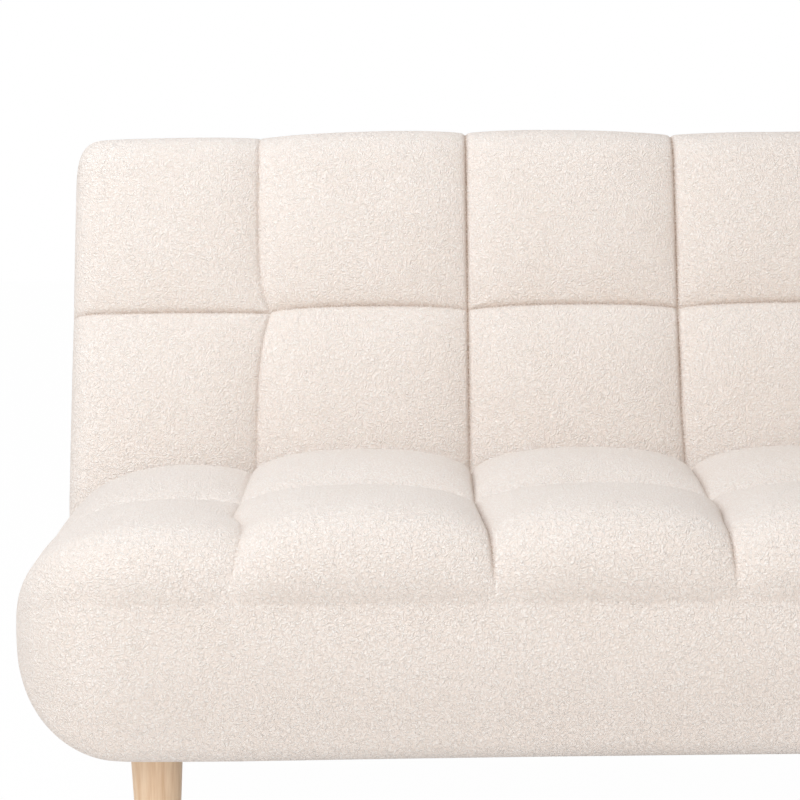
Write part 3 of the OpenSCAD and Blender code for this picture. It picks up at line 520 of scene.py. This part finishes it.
foam, shader = new_material("cut polyurethane foam")
place = add_node(foam, "ShaderNodeTexCoord")
cells = add_node(foam, "ShaderNodeTexVoronoi", {"Vector": (place, "Object")}, Scale=900.0)
cut = add_node(foam, "ShaderNodeTexNoise", {"Vector": (place, "Object")}, Scale=35.0, Detail=3.0)
both = add_node(foam, "ShaderNodeMath", {0: (cells, "Distance"), 1: (cut, "Fac")}, {"operation": "MULTIPLY"})
tone = add_node(foam, "ShaderNodeValToRGB", {"Fac": (both, "Value")})
tone.color_ramp.elements[0].position, tone.color_ramp.elements[0].color = 0.1, linear("D9C98F")
tone.color_ramp.elements[1].position, tone.color_ramp.elements[1].color = 0.5, linear("F0E4B4")
relief = add_node(foam, "ShaderNodeBump", {"Height": (both, "Value")}, Strength=0.6, Distance=0.0006)
foam.node_tree.links.new(tone.outputs["Color"], shader.inputs["Base Color"])
foam.node_tree.links.new(relief.outputs["Normal"], shader.inputs["Normal"])
shader.inputs["Roughness"].default_value = 1.0
shader.inputs["Specular IOR Level"].default_value = 0.1
for slab in (seat_foam, back_foam):
    slab.data.materials.append(foam)


# Dust cover. Black spunbond polypropylene, 1.2 mm thick where it is doubled, cut round the front and centre
# leg sockets and stapled to the frame under the seat. It hangs a little between the boards.
def flat_cloth(name, x, v, low, high, holes, place):
    """A thin closed sheet over a grid of places, with low(x, v) and high(x, v) as its faces. Grid cells whose
    middle is in a hole are left out, and the points next to a hole move on to its rim."""
    gx, gv = np.meshgrid(x, v, indexing="ij")
    gx, gv = gx.copy(), gv.copy()
    keep = np.ones((len(x) - 1, len(v) - 1), bool)
    middle_x, middle_v = (gx[1:, 1:] + gx[:-1, :-1]) / 2, (gv[1:, 1:] + gv[:-1, :-1]) / 2
    for hx, hv, r in holes:
        keep &= np.hypot(middle_x - hx, middle_v - hv) > r
    solid = np.zeros((len(x) + 1, len(v) + 1), bool)
    solid[1:-1, 1:-1] = keep
    around = solid[:-1, :-1] + 0 + solid[1:, :-1] + solid[:-1, 1:] + solid[1:, 1:]
    for hx, hv, r in holes:
        way = np.hypot(gx - hx, gv - hv)
        rim = (around < 4) & (way < 1.5 * r) & (around > 0)
        gx, gv = np.where(rim, hx + (gx - hx) / way * r, gx), np.where(rim, hv + (gv - hv) / way * r, gv)
    points = np.concatenate([place(gx, gv, low(gx, gv)).reshape(-1, 3),
                             place(gx, gv, high(gx, gv)).reshape(-1, 3)])
    size, across = gx.size, len(v)
    i, j = np.nonzero(keep)
    a = i * across + j
    lower = np.stack([a, a + 1, a + across + 1, a + across], -1)
    upper = np.stack([a, a + across, a + across + 1, a + 1], -1) + size
    faces = np.concatenate([lower, upper]).tolist()
    sides = ((-1, 0, 0, 1), (1, 0, across + 1, across), (0, -1, across, 0), (0, 1, 1, across + 1))
    for di, dj, p, q in sides:
        open_side = ~solid[i + 1 + di, j + 1 + dj]
        b = a[open_side]
        faces += np.stack([b + q, b + p, b + p + size, b + q + size], -1).tolist()
    mesh = bpy.data.meshes.new(name)
    mesh.from_pydata(points, [], faces)
    loose = bmesh.new()
    loose.from_mesh(mesh)
    bmesh.ops.delete(loose, geom=[p for p in loose.verts if not p.link_faces], context="VERTS")
    loose.to_mesh(mesh)
    loose.free()
    piece = bpy.data.objects.new(name, mesh)
    bpy.context.scene.collection.objects.link(piece)
    mesh.polygons.foreach_set("use_smooth", np.ones(len(mesh.polygons), bool))
    return piece


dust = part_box("dust_cover")
legs = [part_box(leg) for leg in ("leg_front_left", "leg_front_right", "leg_centre")]
socket_r, droop = 0.0295, 0.0003
sockets = [((leg[0][0] + leg[1][0]) / 2, (leg[0][1] + leg[1][1]) / 2, socket_r) for leg in legs]
dust_x = np.linspace(dust[0][0], dust[1][0], 121)
dust_y = np.linspace(dust[0][1], dust[1][1], 41)


def dust_height(x, y):
    """Fall of 1.5 mm at most between the stapled edges, as the root of a sine from board to board, with
    short puckers every 60 mm that die out as exp(-distance / 20 mm) from the staples."""
    edge = np.minimum(np.minimum(x - dust[0][0], dust[1][0] - x), np.minimum(y - dust[0][1], dust[1][1] - y))
    bay = np.clip(edge / 0.06, 0, 1) ** 2 * (3 - 2 * np.clip(edge / 0.06, 0, 1))
    pucker = np.exp(-edge / 0.02) * (np.cos(2 * math.pi * x / 0.06) * np.cos(2 * math.pi * y / 0.06))
    return -0.0015 * bay * np.abs(np.sin(math.pi * x / 0.29)) ** 0.5 - droop * pucker


dust_cover = flat_cloth("dust_cover_cloth", dust_x, dust_y,
                        lambda x, y: dust[0][2] - droop + dust_height(x, y),
                        lambda x, y: dust[1][2] - droop + dust_height(x, y), sockets,
                        lambda x, y, z: np.stack([x, y, z], -1))
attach(dust_cover, "base")
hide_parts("dust_cover")

# Spunbond polypropylene, embossed with a dot every 1.3 mm on much finer fibres: a dull, slightly
# pebbled black. The fibres are drawn coarser than they are, so that they show.
spunbond, shader = new_material("black spunbond polypropylene")
place = add_node(spunbond, "ShaderNodeTexCoord")
dots = add_node(spunbond, "ShaderNodeTexVoronoi", {"Vector": (place, "Object")}, Scale=800.0, Randomness=0.2)
fibres = add_node(spunbond, "ShaderNodeTexNoise", {"Vector": (place, "Object")}, Scale=1500.0, Detail=2.0)
both = add_node(spunbond, "ShaderNodeMath", {0: (dots, "Distance"), 1: (fibres, "Fac")}, {"operation": "ADD"})
tone = add_node(spunbond, "ShaderNodeValToRGB", {"Fac": (both, "Value")})
tone.color_ramp.elements[0].position, tone.color_ramp.elements[0].color = 0.5, linear("161616")
tone.color_ramp.elements[1].position, tone.color_ramp.elements[1].color = 1.2, linear("3A3A3A")
relief = add_node(spunbond, "ShaderNodeBump", {"Height": (both, "Value")}, Strength=0.4, Distance=0.0003)
spunbond.node_tree.links.new(tone.outputs["Color"], shader.inputs["Base Color"])
spunbond.node_tree.links.new(relief.outputs["Normal"], shader.inputs["Normal"])
shader.inputs["Roughness"].default_value = 0.8
dust_cover.data.materials.append(spunbond)


# Elastic webbing. Four black rubber-core straps, 60 mm wide, stretched over the front edges of the back's
# upright boards under the foam.
# To the eye: dull black with fine cords along it and ribs across it, both drawn about 3 to 5 mm apart.
webbing, shader = new_material("black elastic webbing")
place = add_node(webbing, "ShaderNodeTexCoord")
ribs = add_node(webbing, "ShaderNodeTexWave", {"Vector": (place, "Object")}, {"bands_direction": "X"},
                Scale=110.0)
cords = add_node(webbing, "ShaderNodeTexWave", {"Vector": (place, "Object")}, {"bands_direction": "Z"},
                 Scale=60.0)
both = add_node(webbing, "ShaderNodeMath", {0: (ribs, "Fac"), 1: (cords, "Fac")}, {"operation": "ADD"})
tone = add_node(webbing, "ShaderNodeValToRGB", {"Fac": (both, "Value")})
tone.color_ramp.elements[0].position, tone.color_ramp.elements[0].color = 0.3, linear("121212")
tone.color_ramp.elements[1].position, tone.color_ramp.elements[1].color = 1.6, linear("34322F")
relief = add_node(webbing, "ShaderNodeBump", {"Height": (both, "Value")}, Strength=0.5, Distance=0.0004)
webbing.node_tree.links.new(tone.outputs["Color"], shader.inputs["Base Color"])
webbing.node_tree.links.new(relief.outputs["Normal"], shader.inputs["Normal"])
shader.inputs["Roughness"].default_value = 0.75
strap_x = np.linspace(-0.8745, 0.8745, 90)[:, None]
section_v = np.array([-1, -0.96, -0.5, 0, 0.5, 0.96, 1, 0.96, 0.5, 0, -0.5, -0.96])[None, :] * 0.0298
section_n = np.array([0.5, 1, 1, 1, 1, 1, 0.5, 0, 0, 0, 0, 0])[None, :] * 0.0014
for number, height in enumerate((0.0973, 0.2015, 0.3057, 0.3995), 1):
    v = height + section_v + 0 * strap_x
    n = 0.02005 + section_n + 0 * strap_x
    strap = ring_mesh(f"back_strap_{number}", lean_back(strap_x + 0 * v, v, n))
    strap.data.materials.append(webbing)
    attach(strap, "back")
    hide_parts("back_straps")


# Rear panel. Hardboard wrapped in plain-woven polyester in the boucle's colour, let into the turned-in hem
# at the rear of the back. Its edges are rounded where the cloth goes over them.
panel_half, panel_low, panel_high, panel_rear, panel_front = 0.8445, -0.0285, 0.4315, -0.0704, -0.0661
panel_x = np.concatenate([[-panel_half, -0.8437, -0.842], np.linspace(-0.838, 0.838, 61),
                          [0.842, 0.8437, panel_half]])
panel_v = np.concatenate([[panel_low, -0.0277, -0.026], np.linspace(-0.022, 0.425, 21),
                          [0.429, 0.4307, panel_high]])


def panel_face(x, v):
    """Height of the rear face: flat, falling to the edge over the last 3 mm as a quarter circle."""
    r = 0.003
    inset = np.minimum(np.minimum(x + panel_half, panel_half - x), np.minimum(v - panel_low, panel_high - v))
    edge = np.clip(inset / r, 0, 1)
    return panel_rear + r * (1 - np.sqrt(1 - (1 - edge) ** 2))


back_panel = flat_cloth("back_panel_cloth", panel_x, panel_v, panel_face,
                        lambda x, v: panel_front + 0 * x, [], lean_back)
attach(back_panel, "back")
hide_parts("back_panel")

# A plain weave of 0.5 mm threads gives a flat, finely checked cream. It is too fine to show, so it is
# drawn with a thread every 2 mm.
weave, shader = new_material("plain-woven polyester, cream")
place = add_node(weave, "ShaderNodeTexCoord")
warp = add_node(weave, "ShaderNodeTexWave", {"Vector": (place, "Object")}, {"bands_direction": "X"},
                Scale=160.0, Distortion=0.4)
weft = add_node(weave, "ShaderNodeTexWave", {"Vector": (place, "Object")}, {"bands_direction": "Z"},
                Scale=160.0, Distortion=0.4)
both = add_node(weave, "ShaderNodeMath", {0: (warp, "Fac"), 1: (weft, "Fac")}, {"operation": "MULTIPLY"})
tone = add_node(weave, "ShaderNodeValToRGB", {"Fac": (both, "Value")})
tone.color_ramp.elements[0].position, tone.color_ramp.elements[0].color = 0.0, linear("DACDC0")
tone.color_ramp.elements[1].position, tone.color_ramp.elements[1].color = 0.7, linear("F3ECE4")
relief = add_node(weave, "ShaderNodeBump", {"Height": (both, "Value")}, Strength=0.4, Distance=0.0004)
weave.node_tree.links.new(tone.outputs["Color"], shader.inputs["Base Color"])
weave.node_tree.links.new(relief.outputs["Normal"], shader.inputs["Normal"])
shader.inputs["Roughness"].default_value = 0.9
back_panel.data.materials.append(weave)


# Timber. Oiled beech, turned or planed, for the legs, bearers and cross rail: pale pinkish straw with a low
# sheen and fine pores. Sawn pine for the boards inside: yellower, dull and more striped. The grain runs
# along each board, so each direction has its own material.
def timber(name, light, dark, along, gloss):
    """Wood with its grain along one axis: noise stretched 29 times along it, 14 mm across for the broad
    figure and 1.6 mm for the pores, which are drawn coarser than they are."""
    material, shader = new_material(name)
    place = add_node(material, "ShaderNodeTexCoord")
    stretch = [1.0, 1.0, 1.0]
    stretch["XYZ".index(along)] = 0.035
    run = add_node(material, "ShaderNodeMapping", {"Vector": (place, "Object")})
    run.inputs["Scale"].default_value = stretch
    figure = add_node(material, "ShaderNodeTexNoise", {"Vector": (run, "Vector")}, Scale=70.0, Detail=4.0,
                      Distortion=0.6)
    pores = add_node(material, "ShaderNodeTexNoise", {"Vector": (run, "Vector")}, Scale=620.0, Detail=2.0)
    both = add_node(material, "ShaderNodeMath", {0: (pores, "Fac"), 2: (figure, "Fac")},
                    {"operation": "MULTIPLY_ADD"})
    both.inputs[1].default_value = 0.45
    tone = add_node(material, "ShaderNodeValToRGB", {"Fac": (both, "Value")})
    tone.color_ramp.elements[0].position, tone.color_ramp.elements[0].color = 0.45, linear(dark)
    tone.color_ramp.elements[1].position, tone.color_ramp.elements[1].color = 0.95, linear(light)
    relief = add_node(material, "ShaderNodeBump", {"Height": (pores, "Fac")}, Strength=0.15, Distance=0.0004)
    material.node_tree.links.new(tone.outputs["Color"], shader.inputs["Base Color"])
    material.node_tree.links.new(relief.outputs["Normal"], shader.inputs["Normal"])
    shader.inputs["Roughness"].default_value = gloss
    return material


beech_up = timber("oiled beech, grain upright", "F5DABB", "D8B089", "Z", 0.5)
beech_deep = timber("oiled beech, grain front to rear", "F5DABB", "D8B089", "Y", 0.5)
beech_wide = timber("oiled beech, grain left to right", "F5DABB", "D8B089", "X", 0.5)
pine_wide = timber("sawn pine, grain left to right", "E6C894", "C79B60", "X", 0.7)
pine_deep = timber("sawn pine, grain front to rear", "E6C894", "C79B60", "Y", 0.7)
pine_up = timber("sawn pine, grain up the back", "E6C894", "C79B60", "Z", 0.7)
timbers = {
    "leg_front_left": beech_up, "leg_front_right": beech_up, "leg_rear_left": beech_up,
    "leg_rear_right": beech_up, "leg_centre": beech_up, "base_bearer_left": beech_deep,
    "base_bearer_right": beech_deep, "base_cross_rail": beech_wide, "seat_front_rail": pine_wide,
    "seat_rear_rail": pine_wide, "seat_end_rail_left": pine_deep, "seat_end_rail_right": pine_deep,
    "seat_hinge_rail_left": pine_deep, "seat_hinge_rail_right": pine_deep, "seat_centre_rail": pine_deep,
    "centre_leg_block": pine_deep, "back_top_rail": pine_wide, "back_bottom_rail": pine_wide,
    "back_end_stile_left": pine_up, "back_end_stile_right": pine_up, "back_hinge_stile_left": pine_up,
    "back_hinge_stile_right": pine_up, "back_centre_stile": pine_up}


def finish_node(node, material):
    """Puts a material in every slot of a carried-over part."""
    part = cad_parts[node]
    if not part.material_slots:
        part.data.materials.append(material)
    for place in part.material_slots:
        place.material = material


for node, material in timbers.items():
    finish_node(node, material)


# Hardware. Black powder-coated hinge plates and drums, zinc-plated pins, bolts, nuts, springs and
# clips, and nylon glides under the legs.
def hardware(name, colour, metallic, roughness, grit, strength):
    """A hard finish with a fine grain of bumps, grit per metre. Powder coat looks satin and faintly pebbled,
    zinc plate bright but soft, moulded nylon dull."""
    material, shader = new_material(name)
    place = add_node(material, "ShaderNodeTexCoord")
    grain = add_node(material, "ShaderNodeTexNoise", {"Vector": (place, "Object")}, Scale=grit, Detail=2.0)
    tone = add_node(material, "ShaderNodeValToRGB", {"Fac": (grain, "Fac")})
    low, high = colour
    tone.color_ramp.elements[0].position, tone.color_ramp.elements[0].color = 0.3, linear(low)
    tone.color_ramp.elements[1].position, tone.color_ramp.elements[1].color = 0.7, linear(high)
    relief = add_node(material, "ShaderNodeBump", {"Height": (grain, "Fac")}, Strength=strength,
                      Distance=0.0003)
    material.node_tree.links.new(tone.outputs["Color"], shader.inputs["Base Color"])
    material.node_tree.links.new(relief.outputs["Normal"], shader.inputs["Normal"])
    shader.inputs["Metallic"].default_value = metallic
    shader.inputs["Roughness"].default_value = roughness
    return material


powder = hardware("black powder coat on steel", ("17181A", "26282B"), 0.0, 0.45, 900.0, 0.5)
zinc = hardware("bright zinc plate on steel", ("A9ABAE", "C8CACC"), 1.0, 0.32, 300.0, 0.1)
nylon = hardware("moulded nylon", ("1C1C1D", "2A2A2B"), 0.0, 0.55, 500.0, 0.2)
for node in ("hinge_seat_plate_left", "hinge_seat_plate_right", "ratchet_drum_left", "ratchet_drum_right",
             "hinge_back_plate_left", "hinge_back_plate_right"):
    finish_node(node, powder)
for node in ("hinge_pin_left", "hinge_pin_right", "hinge_seat_bolts", "hinge_back_bolts", "hanger_bolts",
             "leg_nuts", "seat_springs", "spring_clips"):
    finish_node(node, zinc)
finish_node("leg_glides", nylon)


# Studio. A pale floor that the camera sees as white, with the sofa's soft shadow on it, an even white
# surround, and four soft boxes: two from the left, one in front and one overhead.
floor_mesh = bpy.data.meshes.new("floor")
reach = 8
floor_mesh.from_pydata([(-reach, -reach, 0), (reach, -reach, 0), (reach, reach, 0), (-reach, reach, 0)], [],
                       [(0, 1, 2, 3)])
floor = bpy.data.objects.new("floor", floor_mesh)
bpy.context.scene.collection.objects.link(floor)
paper, shader = new_material("white studio paper")
shader.inputs["Base Color"].default_value = linear("F4F4F4")
shader.inputs["Roughness"].default_value = 0.9
rays = add_node(paper, "ShaderNodeLightPath")
white = add_node(paper, "ShaderNodeEmission", Strength=1.0)
seen = add_node(paper, "ShaderNodeMath", {0: (rays, "Is Camera Ray"), 1: (rays, "Is Glossy Ray")},
                {"operation": "MAXIMUM"})
seen = add_node(paper, "ShaderNodeMath", {0: (seen, "Value"), 1: (rays, "Is Transmission Ray")},
                {"operation": "MAXIMUM"})
part = add_node(paper, "ShaderNodeMath", {0: (seen, "Value")}, {"operation": "MULTIPLY"})
part.inputs[1].default_value = 0.985
blend = add_node(paper, "ShaderNodeMixShader",
                 {0: (part, "Value"), 1: (shader, "BSDF"), 2: (white, "Emission")})
paper.node_tree.links.new(blend.outputs["Shader"], paper.node_tree.nodes["Material Output"].inputs["Surface"])
floor_mesh.materials.append(paper)

world = bpy.data.worlds.new("studio")
bpy.context.scene.world = world
world.use_nodes = True
backdrop = world.node_tree.nodes["Background"]
rays = add_node(world, "ShaderNodeLightPath")
seen = add_node(world, "ShaderNodeMath", {0: (rays, "Is Camera Ray"), 1: (rays, "Is Glossy Ray")},
                {"operation": "MAXIMUM"})
seen = add_node(world, "ShaderNodeMath", {0: (seen, "Value"), 1: (rays, "Is Transmission Ray")},
                {"operation": "MAXIMUM"})
amount = add_node(world, "ShaderNodeMapRange", {"Value": (seen, "Value")})
amount.inputs["To Min"].default_value, amount.inputs["To Max"].default_value = 0.61, 1.0
world.node_tree.links.new(amount.outputs["Result"], backdrop.inputs["Strength"])
glow = add_node(world, "ShaderNodeMix", {"Factor": (seen, "Value")}, {"data_type": "RGBA"})
glow.inputs[6].default_value, glow.inputs[7].default_value = (0.99, 0.99, 0.99, 1), (1, 1, 1, 1)
world.node_tree.links.new(glow.outputs[2], backdrop.inputs["Color"])


def lamp(name, place, size, power, colour):
    """A square soft box at a place, turned to the top of the seat a little left of its middle."""
    target = (-0.2, 0, 0.4)
    data = bpy.data.lights.new(name, "AREA")
    data.shape, data.size, data.energy, data.color = "SQUARE", size, power, colour
    light = bpy.data.objects.new(name, data)
    light.location = place
    light.rotation_euler = (Vector(target) - Vector(place)).to_track_quat("-Z", "Y").to_euler()
    bpy.context.scene.collection.objects.link(light)


lamp("key soft box", (-4.4, -1.6, 2.4), 1.4, 9, (1, 0.97, 0.92))
lamp("high left soft box", (-3.6, -2.4, 3.2), 1.8, 31, (1, 0.98, 0.96))
lamp("front soft box", (-0.2, -4.4, 1.6), 2.6, 37, (1, 0.95, 0.92))
lamp("overhead soft box", (-1.4, -0.9, 2.6), 1.2, 30, (0.78, 0.89, 1))
bpy.context.scene.view_settings.view_transform = "Standard"
